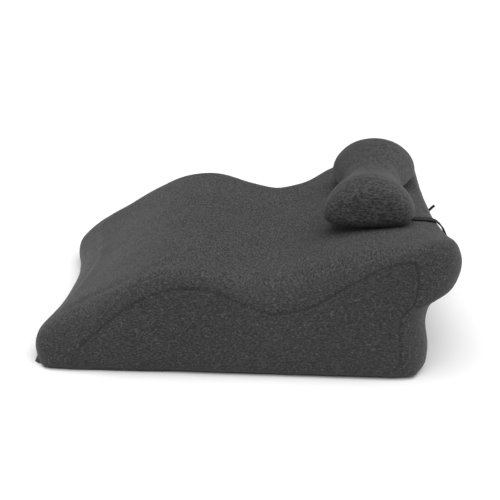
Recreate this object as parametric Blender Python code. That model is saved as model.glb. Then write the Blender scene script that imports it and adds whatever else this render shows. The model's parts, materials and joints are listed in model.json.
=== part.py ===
"""Leg elevation pillow: a contoured foam pillow in a knit cover, with a small strapped bolster on its high end.

The length runs along X, from the low hollowed front at -X to the lip at +X that overhangs the base. The width
runs along Y, and +Z is up. The origin is on the floor, under the middle of the object's box. Sizes are in metres.
"""

import math
from typing import NamedTuple

import bmesh
import bpy
from mathutils import Matrix, Vector
from mathutils.bvhtree import BVHTree


class ProfileKey(NamedTuple):
    """A point that the pillow's side outline runs through."""

    name: str
    x: float
    z: float


class EdgeSection(NamedTuple):
    """The rounding of the long upper edges, and the hollow across the top, at one place along the length."""

    name: str
    x: float
    radius: float
    cradle: float


class BolsterSection(NamedTuple):
    """A cross-section of the bolster, at a share of its half length from its middle."""

    name: str
    share: float
    half_width: float
    base: float
    top: float


# The side outline, from the front's foot over the top, round the lip and down the base to the heel.
PROFILE = (
    ProfileKey("front_foot", -0.296, 0.000),
    ProfileKey("front_toe", -0.314, 0.008),
    ProfileKey("front_nose", -0.313, 0.036),
    ProfileKey("front_brow", -0.297, 0.053),
    ProfileKey("slope_low", -0.270, 0.071),
    ProfileKey("slope_middle", -0.216, 0.099),
    ProfileKey("slope_high", -0.155, 0.133),
    ProfileKey("hump_front", -0.107, 0.153),
    ProfileKey("hump_crest", -0.053, 0.157),
    ProfileKey("hump_back", -0.009, 0.146),
    ProfileKey("dip", 0.052, 0.140),
    ProfileKey("rise_low", 0.101, 0.151),
    ProfileKey("rise_high", 0.146, 0.175),
    ProfileKey("shelf", 0.216, 0.196),
    ProfileKey("lip_crest", 0.268, 0.210),
    ProfileKey("lip_shoulder", 0.292, 0.212),
    ProfileKey("lip_nose", 0.305, 0.180),
    ProfileKey("lip_chin", 0.294, 0.133),
    ProfileKey("lip_throat", 0.269, 0.111),
    ProfileKey("base_neck", 0.262, 0.082),
    ProfileKey("base_bulge", 0.268, 0.035),
    ProfileKey("base_heel", 0.263, 0.007),
    ProfileKey("base_foot", 0.243, 0.000),
    ProfileKey("floor_back", 0.120, 0.000),
    ProfileKey("floor_middle", 0.000, 0.000),
    ProfileKey("floor_front", -0.150, 0.000),
)
NAMES = [key.name for key in PROFILE]
TOP_KEYS = PROFILE[NAMES.index("front_brow"):NAMES.index("lip_crest") + 1]
POINTS_PER_KEY = 3

EDGES = (
    EdgeSection("front", -0.300, 0.045, 0.000),
    EdgeSection("slope", -0.200, 0.033, 0.000),
    EdgeSection("hump", -0.100, 0.027, 0.002),
    EdgeSection("hump_back", -0.020, 0.023, 0.002),
    EdgeSection("dip", 0.050, 0.045, 0.005),
    EdgeSection("rise", 0.130, 0.048, 0.000),
    EdgeSection("shelf", 0.220, 0.027, 0.012),
    EdgeSection("lip", 0.300, 0.036, 0.035),
)

PILLOW_WIDTH = 0.503
FOOT_RADIUS = 0.018
END_FALLOFF = 3

# The plan outline: the front is hollowed in the middle, and all four corners are turned back.
FRONT_HOLLOW = 0.044
FRONT_CORNER_DEPTH = 0.078
FRONT_CORNER_RADIUS = 0.078
LIP_HOLLOW = 0.004
LIP_CORNER_DEPTH = 0.076
LIP_CORNER_RADIUS = 0.058
LIP_SKEW = 0.021
SKEW_FALLOFF = 2

# The cross cuts: close together round the edges, and swelling a little past them on the two sides.
ROUNDED_STATIONS = 8
MIDDLE_STATIONS = 8
SIDE_SWELL = 0.004
SIDE_RINGS = (0.80, 0.50, 0.22, 0.07)
SPINE_FRONT = -0.165
SPINE_BACK = 0.150
SPINE_HEIGHT_SHARE = 0.45

BOLSTER_HALF_LENGTH = 0.136
BOLSTER_PLACE = Vector((0.201, 0.001, 0.260))
BOLSTER_YAW = math.radians(-4.9)
BOLSTER_PITCH = math.radians(-4.0)
BOLSTER_SECTIONS = (
    BolsterSection("waist", 0.00, 0.044, 0.002, 0.058),
    BolsterSection("waist_edge", 0.20, 0.047, 0.002, 0.060),
    BolsterSection("flare", 0.42, 0.057, 0.001, 0.065),
    BolsterSection("lobe", 0.62, 0.065, 0.000, 0.070),
    BolsterSection("lobe_full", 0.76, 0.068, 0.000, 0.071),
    BolsterSection("lobe_end", 0.88, 0.066, 0.001, 0.069),
    BolsterSection("end_turn", 0.95, 0.060, 0.004, 0.064),
    BolsterSection("end_edge", 0.985, 0.052, 0.009, 0.057),
    BolsterSection("end_face", 1.00, 0.038, 0.016, 0.045),
)
BOLSTER_RING_POINTS = 32
BOLSTER_SIDE_HEIGHT = 0.25
HALVED_UP_TO_SHARE = 0.9
DOME_ROUNDNESS = 2.0
BASE_ROUNDNESS = 2.8

# The band runs from the bolster's near end over the lip, turns under its nose and ends along its back.
BAND_WIDTH = 0.014
BAND_THICKNESS = 0.0025
BAND_Y = -0.083
BAND_START_X = 0.254
BAND_FALL = 0.094
BAND_TURN_RADIUS = 0.032
BAND_BACK_LENGTH = 0.155
BAND_STEP = 0.006
BAND_CHECKS_ACROSS = 4
LIP_PATH_STEPS = 24

# The loose end stands up off the band's back run, and curls outwards to its tip.
TAIL_WIDTH = 0.009
TAIL_THICKNESS = 0.0018
TAIL_Y = 0.094
TAIL_RISE = 0.018
TAIL_REACH = 0.009
TAIL_CURL = 1.5
TAIL_LEAN = 0.3
TAIL_CUTS = 4
TAIL_GAP = 0.0003

SEAT_GAP = 0.0004
BAND_GAP = 0.0009

SHARP_ANGLE = math.radians(50)
KNIT = (0.060, 0.060, 0.062, 1.0)
KNIT_ROUGHNESS = 0.92
WEBBING = (0.010, 0.010, 0.010, 1.0)
WEBBING_ROUGHNESS = 0.80


def clear_scene() -> None:
    """Remove whatever the file opened with."""
    for item in list(bpy.data.objects):
        bpy.data.objects.remove(item, do_unlink=True)


def cloth_material(name: str, color: tuple[float, float, float, float], roughness: float) -> bpy.types.Material:
    """Return a plain cloth material of one colour."""
    material = bpy.data.materials.new(name)
    material.use_nodes = True
    shader = material.node_tree.nodes["Principled BSDF"]
    shader.inputs["Base Color"].default_value = color
    shader.inputs["Roughness"].default_value = roughness
    shader.inputs["Metallic"].default_value = 0.0
    return material


def add_object(name: str, bm: bmesh.types.BMesh, material: bpy.types.Material) -> bpy.types.Object:
    """Turn a finished bmesh into a named, smooth-shaded object."""
    bmesh.ops.recalc_face_normals(bm, faces=bm.faces)
    mesh = bpy.data.meshes.new(name)
    bm.to_mesh(mesh)
    bm.free()
    mesh.shade_smooth()
    mesh.set_sharp_from_angle(angle=SHARP_ANGLE)
    mesh.materials.append(material)
    piece = bpy.data.objects.new(name, mesh)
    bpy.context.collection.objects.link(piece)
    return piece


def skin_rings(rings: list[list[Vector]]) -> bmesh.types.BMesh:
    """Return a closed solid whose skin runs through closed rings of equally many points, capped at both ends."""
    bm = bmesh.new()
    columns = len(rings[0])
    rows = len(rings)
    bmesh.ops.create_grid(bm, x_segments=columns, y_segments=rows - 1, size=1.0)
    bm.verts.ensure_lookup_table()
    for index, vert in enumerate(bm.verts):
        row, column = divmod(index, columns + 1)
        vert.co = rings[row][column % columns]
    seam = [bm.verts[row * (columns + 1) + side] for row in range(rows) for side in (0, columns)]
    bmesh.ops.remove_doubles(bm, verts=seam, dist=1e-6)
    bmesh.ops.holes_fill(bm, edges=[edge for edge in bm.edges if edge.is_boundary], sides=0)
    return bm


def curve_point(around: list[Vector], share: float) -> Vector:
    """Return a point between the second and third of four points on a centripetal Catmull-Rom curve."""
    p0, p1, p2, p3 = around
    t1 = math.sqrt((p1 - p0).length)
    t2 = t1 + math.sqrt((p2 - p1).length)
    t3 = t2 + math.sqrt((p3 - p2).length)
    t = t1 + (t2 - t1) * share
    a1 = p0.lerp(p1, t / t1)
    a2 = p1.lerp(p2, (t - t1) / (t2 - t1))
    a3 = p2.lerp(p3, (t - t2) / (t3 - t2))
    b1 = a1.lerp(a2, t / t2)
    b2 = a2.lerp(a3, (t - t1) / (t3 - t1))
    return b1.lerp(b2, (t - t1) / (t2 - t1))


def outline_run(first: int, last: int, steps: int) -> list[Vector]:
    """Return the side outline from one of its points up to another, with so many steps between neighbours."""
    places = [Vector((key.x, key.z)) for key in PROFILE]
    count = len(places)
    run = []
    for i in range(first, last):
        around = [places[(i + k) % count] for k in (-1, 0, 1, 2)]
        for step in range(steps):
            place = curve_point(around, step / steps)
            run.append(Vector((place.x, max(place.y, 0.0))))
    return run


def between(rows: tuple, column: str, x: float, along: str = "x") -> float:
    """Return a table's value at x, straight between its rows."""
    first = getattr(rows[0], along)
    if x <= first:
        return getattr(rows[0], column)
    for low, high in zip(rows, rows[1:]):
        if x <= getattr(high, along):
            share = (x - getattr(low, along)) / (getattr(high, along) - getattr(low, along))
            return getattr(low, column) * (1 - share) + getattr(high, column) * share
    return getattr(rows[-1], column)


def rounded_fall(depth: float, radius: float, inset: float) -> float:
    """Return how far a rounded edge falls away at a distance in from the side."""
    share = max(radius - inset, 0.0) / radius
    return depth * (1 - math.sqrt(1 - share * share))


def pillow_point(flat: Vector, from_near: float) -> Vector:
    """Return where a point of the side outline lies in the cross cut at a distance from the near side."""
    low_x = min(key.x for key in PROFILE)
    high_x = max(key.x for key in PROFILE)
    half = PILLOW_WIDTH / 2
    inset = min(from_near, PILLOW_WIDTH - from_near)
    across = (from_near - half) / half
    bow = 1 - across * across
    top = max(between(TOP_KEYS, "z", flat.x), flat.y + 1e-4)
    up = min(max(flat.y / top, 0.0), 1.0)
    edge_radius = between(EDGES, "radius", flat.x)
    top_drop = rounded_fall(edge_radius, edge_radius, inset)
    foot_lift = rounded_fall(FOOT_RADIUS, FOOT_RADIUS, inset)
    z = foot_lift + flat.y * (top - top_drop - foot_lift) / top
    z -= between(EDGES, "cradle", flat.x) * bow * up
    along = (2 * flat.x - low_x - high_x) / (high_x - low_x)
    end = abs(along) ** END_FALLOFF
    if along < 0:
        set_back = rounded_fall(FRONT_CORNER_DEPTH, FRONT_CORNER_RADIUS, inset) + FRONT_HOLLOW * bow
        x = flat.x + set_back * end
    else:
        set_back = rounded_fall(LIP_CORNER_DEPTH, LIP_CORNER_RADIUS, inset) + LIP_HOLLOW * bow * up
        x = flat.x - set_back * end - LIP_SKEW * across * along ** SKEW_FALLOFF
    side_y = half - SIDE_SWELL
    return Vector((x, across * side_y, z))


def side_ring(outline: list[Vector], from_near: float, share: float) -> list[Vector]:
    """Return the outline drawn in towards the pillow's spine on one side face, where that face swells out."""
    outward = 1 if from_near else -1
    ring = []
    for flat in outline:
        edge = pillow_point(flat, from_near)
        spine_x = min(max(edge.x, SPINE_FRONT), SPINE_BACK)
        spine = Vector((spine_x, edge.y, between(TOP_KEYS, "z", spine_x) * SPINE_HEIGHT_SHARE))
        place = edge.lerp(spine, share)
        place.y += outward * SIDE_SWELL * (1 - (1 - share) ** 2)
        ring.append(place)
    return ring


def station_insets() -> list[float]:
    """Return the distances in from the near side of the cross cuts, close together at the edges."""
    reach = FRONT_CORNER_RADIUS
    rounded = [reach * (1 - math.cos(math.pi / 2 * i / ROUNDED_STATIONS)) for i in range(ROUNDED_STATIONS + 1)]
    span = PILLOW_WIDTH - 2 * reach
    middle = [reach + span * i / (MIDDLE_STATIONS + 1) for i in range(1, MIDDLE_STATIONS + 1)]
    return rounded + middle + [PILLOW_WIDTH - inset for inset in reversed(rounded)]


def pillow_mesh() -> bmesh.types.BMesh:
    """Return the pillow: its side outline carried across the width, cut by cut."""
    outline = outline_run(0, len(PROFILE), POINTS_PER_KEY)
    rings = [side_ring(outline, 0.0, share) for share in SIDE_RINGS]
    rings += [[pillow_point(flat, inset) for flat in outline] for inset in station_insets()]
    rings += [side_ring(outline, PILLOW_WIDTH, share) for share in reversed(SIDE_RINGS)]
    return skin_rings(rings)


def superellipse(turn: float, roundness: float) -> tuple[float, float]:
    """Return the point of a unit superellipse at an angle."""
    power = 2 / roundness
    across = math.copysign(abs(math.cos(turn)) ** power, math.cos(turn))
    up = math.copysign(abs(math.sin(turn)) ** power, math.sin(turn))
    return across, up


def bolster_ring(y: float) -> list[Vector]:
    """Return the bolster's cross-section at y: a flat base under a dome."""
    share = abs(y) / BOLSTER_HALF_LENGTH
    half_width, base, top = (between(BOLSTER_SECTIONS, c, share, "share") for c in ("half_width", "base", "top"))
    side = base + (top - base) * BOLSTER_SIDE_HEIGHT
    ring = []
    for i in range(BOLSTER_RING_POINTS):
        turn = 2 * math.pi * i / BOLSTER_RING_POINTS
        above = math.sin(turn) >= 0
        across, up = superellipse(turn, DOME_ROUNDNESS if above else BASE_ROUNDNESS)
        ring.append(Vector((half_width * across, y, side + up * (top - side if above else side - base))))
    return ring


def bolster_mesh() -> bmesh.types.BMesh:
    """Return the bolster: a waisted cushion with two fat ends, along its own Y."""
    shares = []
    for low, high in zip(BOLSTER_SECTIONS, BOLSTER_SECTIONS[1:]):
        shares.append(low.share)
        if high.share < HALVED_UP_TO_SHARE:
            shares.append((low.share + high.share) / 2)
    shares.append(BOLSTER_SECTIONS[-1].share)
    steps = [-share for share in reversed(shares[1:])] + shares
    bm = skin_rings([bolster_ring(step * BOLSTER_HALF_LENGTH) for step in steps])
    turn = Matrix.Rotation(BOLSTER_YAW, 4, "Z") @ Matrix.Rotation(BOLSTER_PITCH, 4, "Y")
    bmesh.ops.transform(bm, matrix=Matrix.Translation(BOLSTER_PLACE) @ turn, verts=bm.verts)
    return bm


def clearance_under(upper: bmesh.types.BMesh, lower: bmesh.types.BMesh) -> float:
    """Return the least height of one solid's skin straight above another's."""
    down = Vector((0, 0, -1))
    gaps = []
    for movers, target, way in ((upper, lower, down), (lower, upper, -down)):
        tree = BVHTree.FromBMesh(target)
        for vert in movers.verts:
            distance = tree.ray_cast(vert.co, way)[3]
            if distance is not None:
                gaps.append(distance)
    return min(gaps)


def lip_path() -> list[tuple[Vector, float]]:
    """Return the lip's outline from the shelf to the throat, each point with its length from the band's start."""
    run = outline_run(NAMES.index("shelf"), NAMES.index("lip_throat"), LIP_PATH_STEPS)
    lengths = [0.0]
    for low, high in zip(run, run[1:]):
        lengths.append(lengths[-1] + (high - low).length)
    start = next(length for flat, length in zip(run, lengths) if flat.x >= BAND_START_X)
    return [(flat, length - start) for flat, length in zip(run, lengths)]


def on_lip(path: list[tuple[Vector, float]], fall: float, y: float) -> Vector:
    """Return the point of the lip's skin at a length down from the band's start, at y."""
    for (low, low_fall), (high, high_fall) in zip(path, path[1:]):
        if fall <= high_fall:
            share = (fall - low_fall) / (high_fall - low_fall)
            return pillow_point(low.lerp(high, share), y + PILLOW_WIDTH / 2)
    return pillow_point(path[-1][0], y + PILLOW_WIDTH / 2)


def band_route() -> list[tuple[float, float]]:
    """Return the band's route on the unrolled lip: over the nose, a quarter turn, and along the back."""
    radius = BAND_TURN_RADIUS
    straight = BAND_FALL - radius
    quarter = radius * math.pi / 2
    length = straight + quarter + BAND_BACK_LENGTH
    count = round(length / BAND_STEP)
    route = []
    for i in range(count + 1):
        gone = length * i / count
        if gone <= straight:
            route.append((gone, BAND_Y))
        elif gone <= straight + quarter:
            turn = (gone - straight) / radius
            route.append((straight + radius * math.sin(turn), BAND_Y + radius * (1 - math.cos(turn))))
        else:
            route.append((BAND_FALL, BAND_Y + radius + gone - straight - quarter))
    return route


def strip_rings(places: list[Vector], normals: list[Vector], width: float, thickness: float) -> list[list[Vector]]:
    """Return the four-cornered cuts of a flat strip along its places, with its inner face on them."""
    rings = []
    for i, (place, normal) in enumerate(zip(places, normals)):
        ahead = places[min(i + 1, len(places) - 1)] - places[max(i - 1, 0)]
        side = ahead.cross(normal).normalized() * (width / 2)
        rise = normal * thickness
        rings.append([place - side, place + side, place + side + rise, place - side + rise])
    return rings


def smooth_normals(normals: list[Vector]) -> list[Vector]:
    """Return each normal averaged with its neighbours."""
    last = len(normals) - 1
    return [(normals[max(i - 1, 0)] + normals[i] + normals[min(i + 1, last)]).normalized() for i in range(last + 1)]


def clear_of(tree: BVHTree, rings: list[list[Vector]], gap: float) -> None:
    """Push each cut of a strip out until its inner face clears the skin below it."""
    for ring in rings:
        worst = 0.0
        push = (ring[2] - ring[1]).normalized()
        for step in range(BAND_CHECKS_ACROSS + 1):
            corner = ring[0].lerp(ring[1], step / BAND_CHECKS_ACROSS)
            place, normal, _, _ = tree.find_nearest(corner)
            worst = max(worst, gap - (corner - place).dot(normal))
        for corner in ring:
            corner += push * worst


def band_mesh(pillow: BVHTree) -> bmesh.types.BMesh:
    """Return the band, laid over the lip, round under its nose and along its back."""
    path = lip_path()
    places = [on_lip(path, fall, y) for fall, y in band_route()]
    normals = [pillow.find_nearest(place)[1] for place in places]
    rings = strip_rings(places, smooth_normals(normals), BAND_WIDTH, BAND_THICKNESS)
    clear_of(pillow, rings, BAND_GAP)
    return skin_rings(rings)


def tail_mesh(pillow: BVHTree, band: BVHTree) -> bmesh.types.BMesh:
    """Return the band's short loose end, which lies on the band at its foot and curls up and away from it."""
    skin = on_lip(lip_path(), BAND_FALL, TAIL_Y)
    out = pillow.find_nearest(skin)[1]
    foot, out = band.ray_cast(skin + out * TAIL_RISE, -out)[:2]
    up = (Vector((0, 0, 1)) - out * out.z).normalized()
    shares = [cut / TAIL_CUTS for cut in range(TAIL_CUTS + 1)]
    places = [foot + up * TAIL_RISE * share + out * TAIL_REACH * share ** TAIL_CURL for share in shares]
    normals = [(out - up * TAIL_LEAN * share).normalized() for share in shares]
    rings = strip_rings(places, normals, TAIL_WIDTH, TAIL_THICKNESS)
    clear_of(band, rings, TAIL_GAP)
    return skin_rings(rings)


def centre_on_floor(pieces: list[bpy.types.Object]) -> None:
    """Move every piece's mesh so that the origin is on the floor under the middle of the whole box."""
    corners = [vert.co for piece in pieces for vert in piece.data.vertices]
    low = Vector([min(corner[axis] for corner in corners) for axis in range(3)])
    high = Vector([max(corner[axis] for corner in corners) for axis in range(3)])
    middle = (low + high) / 2
    shift = Matrix.Translation((-middle.x, -middle.y, -low.z))
    for piece in pieces:
        piece.data.transform(shift)


def main() -> None:
    """Build the pillow, seat the bolster on it, and lay the band round the lip."""
    clear_scene()
    knit = cloth_material("charcoal_knit", KNIT, KNIT_ROUGHNESS)
    webbing = cloth_material("black_webbing", WEBBING, WEBBING_ROUGHNESS)
    pillow = pillow_mesh()
    bmesh.ops.recalc_face_normals(pillow, faces=pillow.faces)
    skin = BVHTree.FromBMesh(pillow)
    bolster = bolster_mesh()
    drop = clearance_under(bolster, pillow) - SEAT_GAP
    bmesh.ops.translate(bolster, vec=(0, 0, -drop), verts=bolster.verts)
    band = band_mesh(skin)
    bmesh.ops.recalc_face_normals(band, faces=band.faces)
    tail = tail_mesh(skin, BVHTree.FromBMesh(band))
    pieces = [
        add_object("cushion_body", pillow, knit),
        add_object("bolster_body", bolster, knit),
        add_object("strap_band", band, webbing),
        add_object("strap_tail", tail, webbing),
    ]
    centre_on_floor(pieces)


if __name__ == "__main__":
    main()
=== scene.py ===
"""Looks of a leg elevation pillow: knit covers over foam, a small strapped bolster, and a studio."""

import json
import logging
import math
from dataclasses import dataclass
from enum import Enum

import bmesh
import bpy
import numpy as np
from mathutils import Matrix, Vector, noise
from mathutils.bvhtree import BVHTree
from mathutils.kdtree import KDTree

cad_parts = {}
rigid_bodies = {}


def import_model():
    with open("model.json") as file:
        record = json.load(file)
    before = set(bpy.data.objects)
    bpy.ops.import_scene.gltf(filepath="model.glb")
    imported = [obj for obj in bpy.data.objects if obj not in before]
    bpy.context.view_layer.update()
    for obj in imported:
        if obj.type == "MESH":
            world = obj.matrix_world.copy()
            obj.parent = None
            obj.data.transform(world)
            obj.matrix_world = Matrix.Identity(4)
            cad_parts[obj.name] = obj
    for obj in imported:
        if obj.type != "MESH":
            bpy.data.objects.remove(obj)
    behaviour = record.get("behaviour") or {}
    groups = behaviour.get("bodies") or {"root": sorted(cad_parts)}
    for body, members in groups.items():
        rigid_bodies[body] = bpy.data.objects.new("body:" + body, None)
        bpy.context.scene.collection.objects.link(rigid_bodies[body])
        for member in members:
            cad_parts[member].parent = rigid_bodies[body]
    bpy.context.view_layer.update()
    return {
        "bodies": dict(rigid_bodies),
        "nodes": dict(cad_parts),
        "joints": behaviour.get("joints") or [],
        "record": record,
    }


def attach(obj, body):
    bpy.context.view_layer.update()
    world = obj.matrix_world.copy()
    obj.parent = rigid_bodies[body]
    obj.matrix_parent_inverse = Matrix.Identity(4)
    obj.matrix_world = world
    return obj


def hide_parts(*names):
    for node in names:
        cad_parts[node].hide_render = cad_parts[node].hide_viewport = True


LOG = logging.getLogger("leg_pillow")
MERGE_GAP = 1e-5
CLOTH_FRAMES = 20
CLOTH_PRESSURE = 4.0


class NodeKind(Enum):
    """The shader nodes that the finishes are made of."""

    OUTPUT = "ShaderNodeOutputMaterial"
    PRINCIPLED = "ShaderNodeBsdfPrincipled"
    COORDINATES = "ShaderNodeTexCoord"
    MAPPING = "ShaderNodeMapping"
    NOISE = "ShaderNodeTexNoise"
    WAVE = "ShaderNodeTexWave"
    RAMP = "ShaderNodeValToRGB"
    MIX = "ShaderNodeMix"
    MATH = "ShaderNodeMath"
    BUMP = "ShaderNodeBump"
    ATTRIBUTE = "ShaderNodeAttribute"


class PanelSide(Enum):
    """The two long sides of the pillow, as the sign of Y."""

    NEAR = -1
    FAR = 1


@dataclass
class Signal:
    """A number coming out of a shader node, which Python's operators carry on into Math nodes."""

    recipe: "Recipe"
    socket: bpy.types.NodeSocket

    def _join(self, operation: str, first: "Signal | float", second: "Signal | float") -> "Signal":
        """Return the Math node's result for two values.

        Args:
            operation: The Math node's operation.
            first: Its first value.
            second: Its second value.

        Returns:
            The node's output.
        """
        node = self.recipe.node(NodeKind.MATH, {"operation": operation}, {0: first, 1: second})
        return Signal(self.recipe, node.outputs[0])

    def __add__(self, other: "Signal | float") -> "Signal":
        """Return this plus another value."""
        return self._join("ADD", self, other)

    def __radd__(self, other: float) -> "Signal":
        """Return a number plus this."""
        return self._join("ADD", other, self)

    def __sub__(self, other: "Signal | float") -> "Signal":
        """Return this less another value."""
        return self._join("SUBTRACT", self, other)

    def __rsub__(self, other: float) -> "Signal":
        """Return a number less this."""
        return self._join("SUBTRACT", other, self)

    def __mul__(self, other: "Signal | float") -> "Signal":
        """Return this times another value."""
        return self._join("MULTIPLY", self, other)

    def __rmul__(self, other: float) -> "Signal":
        """Return a number times this."""
        return self._join("MULTIPLY", other, self)


class Recipe:
    """A material's node tree, filled in one node at a time."""

    def __init__(self, name: str) -> None:
        """Start a material with an empty tree."""
        self.material = bpy.data.materials.new(name)
        self.material.use_nodes = True
        self.tree = self.material.node_tree
        self.tree.nodes.clear()

    def node(self, kind: NodeKind, settings: dict | None = None, values: dict | None = None) -> bpy.types.Node:
        """Return a new node, with its settings made first and its sockets filled next.

        Args:
            kind: The sort of node.
            settings: The node's own properties; "stops" holds a ramp's (position, grey) pairs.
            values: Socket name or number to a number, colour, Signal or socket.

        Returns:
            The node.
        """
        made = self.tree.nodes.new(kind.value)
        for key, value in (settings or {}).items():
            if key == "stops":
                self._set_stops(made, value)
            else:
                setattr(made, key, value)
        for key, value in (values or {}).items():
            socket = made.inputs[key]
            if isinstance(value, Signal):
                self.tree.links.new(value.socket, socket)
            elif isinstance(value, bpy.types.NodeSocket):
                self.tree.links.new(value, socket)
            else:
                socket.default_value = value
        return made

    @staticmethod
    def _set_stops(ramp: bpy.types.Node, stops: tuple[tuple[float, float], ...]) -> None:
        """Give a ramp its stops, as positions and greys."""
        elements = ramp.color_ramp.elements
        while len(elements) < len(stops):
            elements.new(1.0)
        for element, (position, grey) in zip(elements, stops):
            element.position = position
            element.color = (grey, grey, grey, 1.0)

    def object_place(self) -> bpy.types.NodeSocket:
        """Return the place on the piece, in metres."""
        return self.node(NodeKind.COORDINATES).outputs["Object"]

    def stretched(
        self, place: bpy.types.NodeSocket, scale: tuple[float, float, float]
    ) -> bpy.types.NodeSocket:
        """Return the place scaled along each axis."""
        return self.node(NodeKind.MAPPING, None, {"Vector": place, "Scale": scale}).outputs["Vector"]

    def speckle(self, place: bpy.types.NodeSocket, size: float, detail: float) -> Signal:
        """Return a noise from 0 to 1 whose spots are about the given size in metres.

        Args:
            place: The coordinates that it reads.
            size: The size of a spot along an unstretched axis.
            detail: How many finer noises are added.

        Returns:
            The noise.
        """
        made = self.node(NodeKind.NOISE, None, {"Vector": place, "Scale": 0.5 / size, "Detail": detail})
        return Signal(self, made.outputs[0])

    def through_ramp(self, value: Signal, stops: tuple[tuple[float, float], ...]) -> Signal:
        """Return a value carried through a ramp of greys."""
        return Signal(self, self.node(NodeKind.RAMP, {"stops": stops}, {0: value}).outputs[0])

    def attribute(self, name: str) -> Signal:
        """Return a number stored on the mesh's points."""
        return Signal(self, self.node(NodeKind.ATTRIBUTE, {"attribute_name": name}).outputs["Fac"])

    def mixed(self, share: Signal, low: tuple | bpy.types.NodeSocket, high: tuple) -> bpy.types.NodeSocket:
        """Return a colour between two.

        Args:
            share: 0 for the first colour and 1 for the second.
            low: The first colour, or the socket that it comes from.
            high: The second colour.

        Returns:
            The mixed colour.
        """
        made = self.node(NodeKind.MIX, {"data_type": "RGBA"}, {0: share, 6: low, 7: high})
        return made.outputs[2]

    def bumped(
        self, height: Signal, depth: float, below: bpy.types.NodeSocket | None = None
    ) -> bpy.types.NodeSocket:
        """Return the normal of a relief of the given depth in metres.

        Args:
            height: The relief, from 0 to 1.
            depth: Its depth.
            below: The normal of a coarser relief that it lies on.

        Returns:
            The normal.
        """
        values = {"Height": height, "Distance": depth, "Strength": 1.0}
        if below is not None:
            values["Normal"] = below
        return self.node(NodeKind.BUMP, None, values).outputs["Normal"]

    def finish(self, values: dict) -> bpy.types.Material:
        """Return the material, its shader filled with the given values."""
        shader = self.node(NodeKind.PRINCIPLED, None, values)
        self.node(NodeKind.OUTPUT, None, {"Surface": shader.outputs[0]})
        return self.material


@dataclass(frozen=True)
class HeatherKnit:
    """The covers' charcoal jersey: dark and grey yarns knitted together into short flecks."""

    dark: tuple[float, float, float, float] = (0.014, 0.014, 0.0145, 1.0)
    light: tuple[float, float, float, float] = (0.062, 0.062, 0.063, 1.0)
    pale_fleck: tuple[float, float, float, float] = (0.105, 0.105, 0.107, 1.0)
    # Colour that the seam grooves are darkened towards: painted shade.
    seam_painted_shade: tuple[float, float, float, float] = (0.014, 0.014, 0.015, 1.0)
    # Brightness kept on the side panels: painted shade, standing for the dimmer light that the sides get.
    side_painted_shade: float = 0.82
    fleck: float = 0.0011
    side_fleck: float = 0.0008
    stretch: float = 2.4
    course: float = 0.0012
    relief: float = 0.00035

    def material(self, name: str, side_attribute: str | None, seam_attribute: str | None) -> bpy.types.Material:
        """Return the knit's material.

        Args:
            name: The material's name.
            side_attribute: The points' number: 1 where the yarn runs along X and the side panels are darkened
                with painted shade, and 0 where it runs along Y.
            seam_attribute: The points' number that is 1 in a seam, where the groove is darkened with painted
                shade.

        Returns:
            The material.
        """
        recipe = Recipe(name)
        place = recipe.object_place()
        along_x = recipe.stretched(place, (1 / self.stretch, 1.0, 1.0))
        along_y = recipe.stretched(place, (1.0, 1 / self.stretch, 1.0))
        flecks = recipe.speckle(along_x, self.fleck, 1.0)
        courses = recipe.speckle(along_x, self.course, 0.0)
        side_shade_factor = None
        if side_attribute:
            share = recipe.attribute(side_attribute)
            side_flecks = recipe.speckle(along_x, self.side_fleck, 2.0)
            flecks = side_flecks * share + recipe.speckle(along_y, self.fleck, 1.0) * (1 - share)
            courses = courses * share + recipe.speckle(along_y, self.course, 0.0) * (1 - share)
            # Painted shade: the side panels are darkened by this factor.
            side_shade_factor = 1 - share * (1 - self.side_painted_shade)
        yarn = recipe.through_ramp(flecks, ((0.36, 0.0), (0.50, 0.42), (0.64, 1.0)))
        cloud = recipe.speckle(place, 0.035, 2.0)
        blend = yarn * 0.80 + cloud * 0.16 + courses * 0.10 - 0.03
        if side_shade_factor:
            blend = blend * side_shade_factor
        colour = recipe.mixed(blend, self.dark, self.light)
        sparse = recipe.through_ramp(recipe.speckle(place, self.fleck * 1.5, 1.0), ((0.62, 0.0), (0.72, 1.0)))
        colour = recipe.mixed(sparse * 0.45, colour, self.pale_fleck)
        if seam_attribute:
            # Painted shade in the seam grooves.
            colour = recipe.mixed(recipe.attribute(seam_attribute) * 0.55, colour, self.seam_painted_shade)
        loops = courses * 0.6 + flecks * 0.8
        normal = recipe.bumped(cloud, 0.0006)
        normal = recipe.bumped(loops, self.relief, normal)
        return recipe.finish({
            "Base Color": colour,
            "Roughness": 0.86 + 0.10 * yarn,
            "Normal": normal,
            "Specular IOR Level": 0.25,
            "Sheen Weight": 0.12,
            "Sheen Roughness": 0.45,
            "Sheen Tint": (0.75, 0.75, 0.78, 1.0),
        })


@dataclass(frozen=True)
class Webbing:
    """The strap's black woven webbing."""

    dark: tuple[float, float, float, float] = (0.004, 0.004, 0.004, 1.0)
    light: tuple[float, float, float, float] = (0.020, 0.020, 0.021, 1.0)
    rib: float = 0.0011
    relief: float = 0.0003

    def material(self, name: str) -> bpy.types.Material:
        """Return the webbing's material."""
        recipe = Recipe(name)
        place = recipe.object_place()
        ribs = recipe.node(
            NodeKind.WAVE,
            {"wave_type": "BANDS", "bands_direction": "DIAGONAL", "wave_profile": "SIN"},
            {"Vector": place, "Scale": 0.314 / self.rib, "Distortion": 0.6, "Detail": 1.0},
        )
        weave = Signal(recipe, ribs.outputs[1])
        fibre = recipe.speckle(place, 0.0008, 2.0)
        colour = recipe.mixed(weave * 0.7 + fibre * 0.3, self.dark, self.light)
        return recipe.finish({
            "Base Color": colour,
            "Roughness": 0.62 + 0.18 * fibre,
            "Normal": recipe.bumped(weave * 0.7 + fibre * 0.3, self.relief),
            "Specular IOR Level": 0.35,
        })


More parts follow.
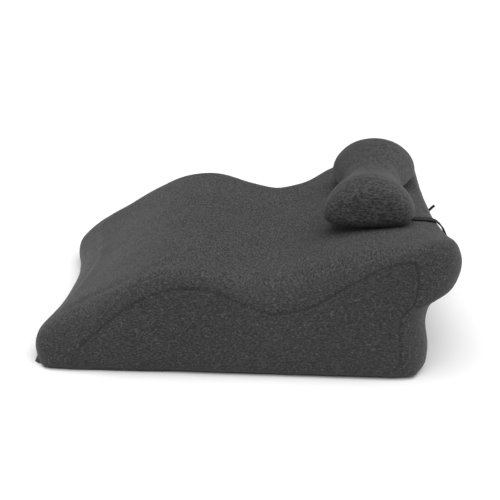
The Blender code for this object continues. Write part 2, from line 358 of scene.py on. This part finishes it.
@dataclass(frozen=True)
class StudioFloor:
    """The pale floor under the pillow."""

    colour: tuple[float, float, float, float] = (0.80, 0.80, 0.80, 1.0)
    cloud: tuple[float, float, float, float] = (0.76, 0.76, 0.76, 1.0)

    def material(self, name: str) -> bpy.types.Material:
        """Return the floor's material."""
        recipe = Recipe(name)
        cloud = recipe.speckle(recipe.object_place(), 0.4, 1.0)
        colour = recipe.mixed(cloud * 0.3, self.colour, self.cloud)
        return recipe.finish({"Base Color": colour, "Roughness": 0.9})


def place_array(mesh: bpy.types.Mesh) -> np.ndarray:
    """Return a mesh's points as rows of x, y and z."""
    flat = np.empty(len(mesh.vertices) * 3)
    mesh.vertices.foreach_get("co", flat)
    return flat.reshape(-1, 3)


def normal_array(mesh: bpy.types.Mesh) -> np.ndarray:
    """Return a mesh's point normals as rows."""
    flat = np.empty(len(mesh.vertices) * 3)
    mesh.vertices.foreach_get("normal", flat)
    return flat.reshape(-1, 3)


def set_places(mesh: bpy.types.Mesh, places: np.ndarray) -> None:
    """Move a mesh's points to new places."""
    mesh.vertices.foreach_set("co", places.ravel())
    mesh.update()


def store_number(mesh: bpy.types.Mesh, name: str, numbers: np.ndarray) -> None:
    """Keep one number for each point of a mesh."""
    mesh.attributes.new(name, "FLOAT", "POINT").data.foreach_set("value", numbers.astype(np.float32))


def settle_modifiers(piece: bpy.types.Object) -> None:
    """Turn a piece's modifiers into its mesh."""
    graph = bpy.context.evaluated_depsgraph_get()
    settled = bpy.data.meshes.new_from_object(piece.evaluated_get(graph), depsgraph=graph)
    piece.modifiers.clear()
    piece.data = settled


def step(low: float, high: float, values: np.ndarray) -> np.ndarray:
    """Return a smooth step from 0 to 1 between two limits."""
    share = np.clip((values - low) / (high - low), 0.0, 1.0)
    return share * share * (3 - 2 * share)


@dataclass
class FoamCover:
    """A knit cover stretched over foam, blown tight from its solid by a short cloth simulation.

    Args:
        node: The solid that it stands for.
        voxel: The remesh's voxel size.
        shrink: How far inside the solid it starts.
        swell_cap: The farthest that a point may end up from the solid's skin.
        fill: How tight it is; not used.
        fitting_rounds: How often the rounded skin is fitted to the solid's points again.
        relief: The depth of the relief that the simulation leaves on the rounded skin.
    """

    node: str
    voxel: float
    shrink: float
    swell_cap: float
    fill: float
    fitting_rounds: int = 5
    relief: float = 0.0009

    def solid_copy(self, frame: dict) -> bpy.types.Object:
        """Return a merged, quadded copy of the solid.

        Args:
            frame: The loaded frame.

        Returns:
            The copy.
        """
        bm = bmesh.new()
        bm.from_mesh(frame["nodes"][self.node].data)
        bmesh.ops.remove_doubles(bm, verts=bm.verts, dist=MERGE_GAP)
        bmesh.ops.join_triangles(
            bm, faces=bm.faces, angle_face_threshold=math.radians(30), angle_shape_threshold=math.radians(60)
        )
        mesh = bpy.data.meshes.new(self.node + "_cover")
        bm.to_mesh(mesh)
        bm.free()
        piece = bpy.data.objects.new(self.node + "_cover", mesh)
        bpy.context.collection.objects.link(piece)
        return piece

    def round_facets(self, piece: bpy.types.Object) -> BVHTree:
        """Subdivide the copy into a smooth skin that still runs through the solid's own points.

        Args:
            piece: The copy.

        Returns:
            The rounded skin, to measure from.
        """
        wanted = place_array(piece.data)
        control = wanted.copy()
        rounding = piece.modifiers.new("rounding", "SUBSURF")
        rounding.levels = 2
        rounding.render_levels = 2
        for _ in range(self.fitting_rounds):
            set_places(piece.data, control)
            shown = piece.evaluated_get(bpy.context.evaluated_depsgraph_get())
            control += wanted - place_array(shown.to_mesh())[:len(wanted)]
            shown.to_mesh_clear()
        set_places(piece.data, control)
        graph = bpy.context.evaluated_depsgraph_get()
        return BVHTree.FromObject(piece, graph)

    def remesh(self, piece: bpy.types.Object) -> None:
        """Lay an even net over the rounded copy."""
        net = piece.modifiers.new("net", "REMESH")
        net.mode = "VOXEL"
        net.voxel_size = self.voxel
        net.use_smooth_shade = True
        settle_modifiers(piece)

    def swell(self, piece: bpy.types.Object, flat_below: float) -> None:
        """Blow the cover up from just inside the solid, and hold back whatever moves too far from its skin.

        Args:
            piece: The cover.
            flat_below: Points lower than this lie on the floor and stay there.
        """
        skin = place_array(piece.data)
        normals = normal_array(piece.data)
        resting = skin[:, 2] < flat_below
        inside = skin - normals * self.shrink
        inside[resting] = skin[resting]
        set_places(piece.data, inside)
        self._simulate(piece, resting)
        moved = place_array(piece.data) - skin
        outward = np.einsum("ij,ij->i", moved, normals)
        moved -= normals * np.median(outward[~resting])
        moved[resting] = 0.0
        length = np.linalg.norm(moved, axis=1, keepdims=True)
        set_places(piece.data, skin + moved * np.minimum(1.0, self.swell_cap / np.maximum(length, 1e-9)))

    @staticmethod
    def _simulate(piece: bpy.types.Object, resting: np.ndarray) -> None:
        """Run the cloth for its frames with the resting points held."""
        held = piece.vertex_groups.new(name="held")
        held.add([int(i) for i in np.flatnonzero(resting)], 1.0, "REPLACE")
        cloth = piece.modifiers.new("cloth", "CLOTH")
        cloth.settings.use_pressure = True
        cloth.settings.uniform_pressure_force = CLOTH_PRESSURE
        cloth.settings.vertex_group_mass = "held"
        cloth.settings.effector_weights.gravity = 0.0
        cloth.point_cache.frame_start = 1
        cloth.point_cache.frame_end = CLOTH_FRAMES
        for frame_number in range(1, CLOTH_FRAMES + 1):
            bpy.context.scene.frame_set(frame_number)
        settle_modifiers(piece)
        bpy.context.scene.frame_set(1)
        piece.vertex_groups.clear()

    @staticmethod
    def relax(piece: bpy.types.Object, rounds: int) -> None:
        """Even out the remesh's ripples."""
        bm = bmesh.new()
        bm.from_mesh(piece.data)
        for _ in range(rounds):
            bmesh.ops.smooth_vert(
                bm, verts=bm.verts, factor=0.5, use_axis_x=True, use_axis_y=True, use_axis_z=True
            )
        bm.to_mesh(piece.data)
        bm.free()

    @staticmethod
    def refine(piece: bpy.types.Object) -> None:
        """Halve the net once."""
        finer = piece.modifiers.new("finer", "SUBSURF")
        finer.levels = 1
        finer.render_levels = 1
        settle_modifiers(piece)

    def match_skin(self, piece: bpy.types.Object, skin: BVHTree) -> None:
        """Bring the cover back to the rounded skin, and leave only a shallow relief of its own.

        Args:
            piece: The cover.
            skin: The rounded skin.
        """
        places = place_array(piece.data)
        normals = normal_array(piece.data)
        proud = np.zeros(len(places))
        for index, place in enumerate(places):
            nearest, facing, _, _ = skin.find_nearest(Vector(place))
            proud[index] = (Vector(place) - nearest).dot(facing)
        proud = self._evened(piece.data, proud, 8)
        relief = np.clip(proud - np.median(proud), -self.relief, self.relief)
        set_places(piece.data, places - normals * (proud - relief)[:, None])

    @staticmethod
    def _evened(mesh: bpy.types.Mesh, numbers: np.ndarray, rounds: int) -> np.ndarray:
        """Return the points' numbers averaged with their neighbours' a few times over."""
        ends = np.empty(len(mesh.edges) * 2, dtype=np.int64)
        mesh.edges.foreach_get("vertices", ends)
        first, second = ends.reshape(-1, 2).T
        count = np.bincount(ends, minlength=len(numbers))
        for _ in range(rounds):
            total = np.bincount(first, numbers[second], len(numbers))
            total = total + np.bincount(second, numbers[first], len(numbers))
            numbers = 0.5 * numbers + 0.5 * total / np.maximum(count, 1)
        return numbers

    @staticmethod
    def stay_clear(piece: bpy.types.Object, solid: BVHTree, others: list[BVHTree], room: float) -> None:
        """Keep the cover at its solid's skin wherever another piece is near.

        Args:
            piece: The cover.
            solid: The skin of the solid that it stands for.
            others: The skins of its neighbours.
            room: How near a neighbour has to be to count.
        """
        places = place_array(piece.data)
        for index, place in enumerate(places):
            point = Vector(place)
            if all(other.find_nearest(point, room)[0] is None for other in others):
                continue
            skin, normal, _, _ = solid.find_nearest(point)
            proud = (point - skin).dot(normal)
            if proud > 0:
                places[index] = point - normal * proud
        set_places(piece.data, places)


@dataclass
class PillowCover(FoamCover):
    """The large pillow's cover: one long panel over the top, and a profiled panel at each side.

    Args:
        seam_y: Where the side panels' seams lie across the width.
        seam_reach: How near a point has to be to be drawn into a seam.
        seam_depth: How deep the seams are drawn in.
        pucker: The height of the puckers beside the seams.
    """

    node: str = "cushion_body"
    voxel: float = 0.006
    shrink: float = 0.003
    swell_cap: float = 0.0016
    fill: float = 0.95
    seam_y: float = 0.2470
    seam_reach: float = 0.0018
    seam_depth: float = 0.0011
    pucker: float = 0.00045

    def build(self, frame: dict, knit: HeatherKnit) -> bpy.types.Object:
        """Return the finished cover.

        Args:
            frame: The loaded frame.
            knit: The covers' cloth.

        Returns:
            The piece.
        """
        neighbours = ("bolster_body", "strap_band", "strap_tail")
        piece = self.solid_copy(frame)
        skin = self.round_facets(piece)
        self.remesh(piece)
        self.swell(piece, 0.0006)
        self.relax(piece, 2)
        self.refine(piece)
        self.match_skin(piece, skin)
        self.undulate(piece)
        self.sew(piece, self.seam_lines(frame))
        self.stay_clear(piece, skin_of(frame, self.node), [skin_of(frame, name) for name in neighbours], 0.004)
        self.rest_on_floor(piece)
        piece.data.shade_smooth()
        piece.data.materials.clear()
        piece.data.materials.append(knit.material("charcoal_knit_cover", "side_panel", "seam"))
        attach(piece, "root")
        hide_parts(self.node)
        return piece

    def seam_lines(self, frame: dict) -> dict[PanelSide, list[Vector]]:
        """Return points close together along each side panel's seam.

        Args:
            frame: The loaded frame.

        Returns:
            Each side's points.
        """
        lines = {}
        for side in PanelSide:
            bm = bmesh.new()
            bm.from_mesh(frame["nodes"][self.node].data)
            bmesh.ops.remove_doubles(bm, verts=bm.verts, dist=MERGE_GAP)
            cut = bmesh.ops.bisect_plane(
                bm, geom=bm.verts[:] + bm.edges[:] + bm.faces[:], plane_co=(0, side.value * self.seam_y, 0),
                plane_no=(0, 1, 0)
            )
            edges = [item for item in cut["geom_cut"] if isinstance(item, bmesh.types.BMEdge)]
            points = []
            for edge in edges:
                low, high = (vert.co for vert in edge.verts)
                count = max(2, int((high - low).length / 0.001))
                points += [low.lerp(high, i / count) for i in range(count + 1)]
            lines[side] = points
            bm.free()
        return lines

    @staticmethod
    def undulate(piece: bpy.types.Object) -> None:
        """Give the cloth the slow, slight waves of a loose-fitting cover."""
        places = place_array(piece.data)
        normals = normal_array(piece.data)
        for index, place in enumerate(places):
            slow = noise.noise(Vector(place) * 14.0)
            quick = noise.noise(Vector(place) * 38.0 + Vector((7.0, 3.0, 1.0)))
            places[index] += normals[index] * (slow * 0.0011 + quick * 0.00035 - 0.0002)
        set_places(piece.data, places)

    def sew(self, piece: bpy.types.Object, lines: dict[PanelSide, list[Vector]]) -> None:
        """Draw the seams in, pucker the cloth beside them, and mark the side panels.

        Args:
            piece: The cover.
            lines: Each side's seam points.
        """
        places = place_array(piece.data)
        normals = normal_array(piece.data)
        gaps = np.full(len(places), 1.0)
        for side, points in lines.items():
            tree = KDTree(len(points))
            for i, point in enumerate(points):
                tree.insert(point, i)
            tree.balance()
            for index in np.flatnonzero(places[:, 1] * side.value > 0.15):
                nearest, _, gap = tree.find(Vector(places[index]))
                gaps[index] = gap
                if gap < self.seam_reach and nearest.z > 0.004:
                    along = Vector(normals[index])
                    shift = nearest - Vector(places[index])
                    places[index] += np.array(shift - along * shift.dot(along))
                    gaps[index] = 0.0
        lifted = step(0.010, 0.040, places[:, 2])
        groove = np.exp(-(gaps / 0.0016) ** 2) * lifted
        beside = np.exp(-(gaps / 0.012) ** 2) * (1 - np.exp(-(gaps / 0.003) ** 2)) * lifted
        for index in np.flatnonzero(beside > 0.02):
            ripple = noise.noise(Vector((places[index][0] * 75.0, places[index][2] * 75.0, 4.0)))
            places[index] += normals[index] * beside[index] * self.pucker * (0.4 + 1.3 * ripple)
        places -= normals * (groove * self.seam_depth)[:, None]
        set_places(piece.data, places)
        # side_panel turns the yarn along X and also darkens the side panels with painted shade.
        outside = step(self.seam_y - 0.0035, self.seam_y - 0.0005, np.abs(places[:, 1]))
        facing = step(0.45, 0.75, np.abs(normals[:, 1]))
        store_number(piece.data, "side_panel", np.maximum(outside, facing))
        # The seam number carries the grooves' painted shade.
        store_number(piece.data, "seam", groove)

    @staticmethod
    def rest_on_floor(piece: bpy.types.Object) -> None:
        """Keep every point on or above the floor."""
        places = place_array(piece.data)
        places[:, 2] = np.maximum(places[:, 2], 0.0)
        set_places(piece.data, places)


@dataclass
class BolsterCover(FoamCover):
    """The small bolster's cover."""

    node: str = "bolster_body"
    voxel: float = 0.004
    shrink: float = 0.002
    swell_cap: float = 0.0012
    fill: float = 0.95

    def build(self, frame: dict, knit: HeatherKnit) -> bpy.types.Object:
        """Return the finished cover.

        Args:
            frame: The loaded frame.
            knit: The covers' cloth.

        Returns:
            The piece.
        """
        piece = self.solid_copy(frame)
        skin = self.round_facets(piece)
        self.remesh(piece)
        self.swell(piece, -1.0)
        self.relax(piece, 2)
        self.refine(piece)
        self.match_skin(piece, skin)
        PillowCover.undulate(piece)
        neighbours = ("cushion_body", "strap_band")
        self.stay_clear(piece, skin_of(frame, self.node), [skin_of(frame, name) for name in neighbours], 0.006)
        piece.data.shade_smooth()
        piece.data.materials.clear()
        piece.data.materials.append(knit.material("charcoal_knit_bolster", None, None))
        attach(piece, "root")
        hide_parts(self.node)
        return piece


@dataclass
class Strap:
    """The black webbing band over the lip, and its loose end."""

    band_node: str = "strap_band"
    tail_node: str = "strap_tail"
    band_cut: tuple[float, float] = (0.014, 0.267)
    edge_round: float = 0.0006

    def build(self, frame: dict, webbing: Webbing) -> list[bpy.types.Object]:
        """Return the band and its loose end.

        Args:
            frame: The loaded frame.
            webbing: The strap's cloth.

        Returns:
            The two pieces.
        """
        material = webbing.material("black_woven_webbing")
        band = self._webbing_piece(frame, self.band_node, "strap_webbing", material)
        tail = self._webbing_piece(frame, self.tail_node, "strap_loose_end", material)
        return [band, tail]

    def _webbing_piece(
        self, frame: dict, node: str, name: str, material: bpy.types.Material
    ) -> bpy.types.Object:
        """Return one run of webbing with rounded long edges.

        Args:
            frame: The loaded frame.
            node: The solid that it stands for.
            name: The piece's name.
            material: The webbing's material.

        Returns:
            The piece.
        """
        bm = bmesh.new()
        bm.from_mesh(frame["nodes"][node].data)
        bmesh.ops.remove_doubles(bm, verts=bm.verts, dist=MERGE_GAP)
        bmesh.ops.join_triangles(
            bm, faces=bm.faces, angle_face_threshold=math.radians(40), angle_shape_threshold=math.radians(80)
        )
        corners = [edge for edge in bm.edges if edge.calc_face_angle(0.0) > math.radians(55)]
        bmesh.ops.bevel(
            bm, geom=corners, offset=self.edge_round, segments=2, profile=0.5, affect="EDGES", material=-1
        )
        mesh = bpy.data.meshes.new(name)
        bm.to_mesh(mesh)
        bm.free()
        mesh.shade_smooth()
        mesh.materials.append(material)
        piece = bpy.data.objects.new(name, mesh)
        bpy.context.collection.objects.link(piece)
        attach(piece, "root")
        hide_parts(node)
        return piece


@dataclass
class Studio:
    """The floor, the soft lights and the camera at the photograph's angle."""

    azimuth: float = 2.062
    elevation: float = 20.949
    roll: float = 0.772
    distance: float = 1.985
    lens: float = 90.03
    aim: tuple[float, float, float] = (0.0, 0.0, 0.101)
    world_strength: float = 0.28
    sky_from: tuple[float, float, float] = (0.08, -0.38, 1.0)
    sky_width: float = 70.0
    sky_strength: float = 3.6

    def build(self) -> None:
        """Set up the whole studio."""
        self._floor()
        self._world()
        self._sky()
        self._softbox("right", (2.20, 0.10, 0.45), (0.1, 0.0, 0.1), 1.2, 15.0)
        self._softbox("left", (-2.20, -0.30, 0.45), (-0.1, 0.0, 0.1), 1.2, 5.0)
        self._camera()

    @staticmethod
    def _floor() -> None:
        """Lay the floor."""
        bm = bmesh.new()
        bmesh.ops.create_grid(bm, x_segments=1, y_segments=1, size=6.0)
        mesh = bpy.data.meshes.new("studio_floor")
        bm.to_mesh(mesh)
        bm.free()
        mesh.materials.append(StudioFloor().material("pale_floor"))
        floor = bpy.data.objects.new("studio_floor", mesh)
        bpy.context.collection.objects.link(floor)

    def _world(self) -> None:
        """Light the room evenly with white."""
        world = bpy.data.worlds.new("studio_world")
        world.use_nodes = True
        backdrop = world.node_tree.nodes["Background"]
        backdrop.inputs["Color"].default_value = (1.0, 1.0, 1.0, 1.0)
        backdrop.inputs["Strength"].default_value = self.world_strength
        bpy.context.scene.world = world

    def _sky(self) -> None:
        """Light everything evenly from high in front, as a very wide soft lamp does."""
        lamp = bpy.data.lights.new("sky", "SUN")
        lamp.angle = math.radians(self.sky_width)
        lamp.energy = self.sky_strength
        light = bpy.data.objects.new("sky", lamp)
        light.rotation_mode = "QUATERNION"
        light.rotation_quaternion = (-Vector(self.sky_from)).to_track_quat("-Z", "Y")
        bpy.context.collection.objects.link(light)

    @staticmethod
    def _softbox(
        name: str, place: tuple[float, float, float], aim: tuple[float, float, float], size: float, power: float
    ) -> None:
        """Hang a soft square light.

        Args:
            name: The light's name.
            place: Where it hangs.
            aim: The point that it faces.
            size: Its side.
            power: Its power in watts.
        """
        lamp = bpy.data.lights.new(name, "AREA")
        lamp.size = size
        lamp.energy = power
        light = bpy.data.objects.new(name, lamp)
        light.location = place
        light.rotation_mode = "QUATERNION"
        light.rotation_quaternion = (Vector(aim) - Vector(place)).to_track_quat("-Z", "Y")
        bpy.context.collection.objects.link(light)

    def _camera(self) -> None:
        """Put the camera where the photograph was taken from."""
        turn, rise, tilt = (math.radians(angle) for angle in (self.azimuth, self.elevation, self.roll))
        back = Vector((math.sin(turn) * math.cos(rise), -math.cos(turn) * math.cos(rise), math.sin(rise)))
        right = Vector((0, 0, 1)).cross(back).normalized()
        up = back.cross(right)
        right, up = right * math.cos(tilt) + up * math.sin(tilt), up * math.cos(tilt) - right * math.sin(tilt)
        data = bpy.data.cameras.new("photo_camera")
        data.lens = self.lens
        data.sensor_width = 36.0
        camera = bpy.data.objects.new("photo_camera", data)
        axes = Matrix((right, up, back)).transposed().to_4x4()
        camera.matrix_world = Matrix.Translation(Vector(self.aim) + back * self.distance) @ axes
        bpy.context.collection.objects.link(camera)
        bpy.context.scene.camera = camera
        bpy.context.scene.view_settings.view_transform = "Standard"


def skin_of(frame: dict, node: str) -> BVHTree:
    """Return a solid's skin, to measure from.

    Args:
        frame: The loaded frame.
        node: The solid.

    Returns:
        The skin.
    """
    bm = bmesh.new()
    bm.from_mesh(frame["nodes"][node].data)
    skin = BVHTree.FromBMesh(bm)
    bm.free()
    return skin


def main() -> None:
    """Dress the pillow, the bolster and the strap, and light them."""
    logging.basicConfig(level=logging.INFO, format="%(name)s: %(message)s")
    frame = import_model()
    knit = HeatherKnit()
    pieces = [
        PillowCover().build(frame, knit),
        BolsterCover().build(frame, knit),
        *Strap().build(frame, Webbing()),
    ]
    for piece in pieces:
        LOG.info("%s: %d faces", piece.name, len(piece.data.polygons))
    Studio().build()


if __name__ == "__main__":
    main()
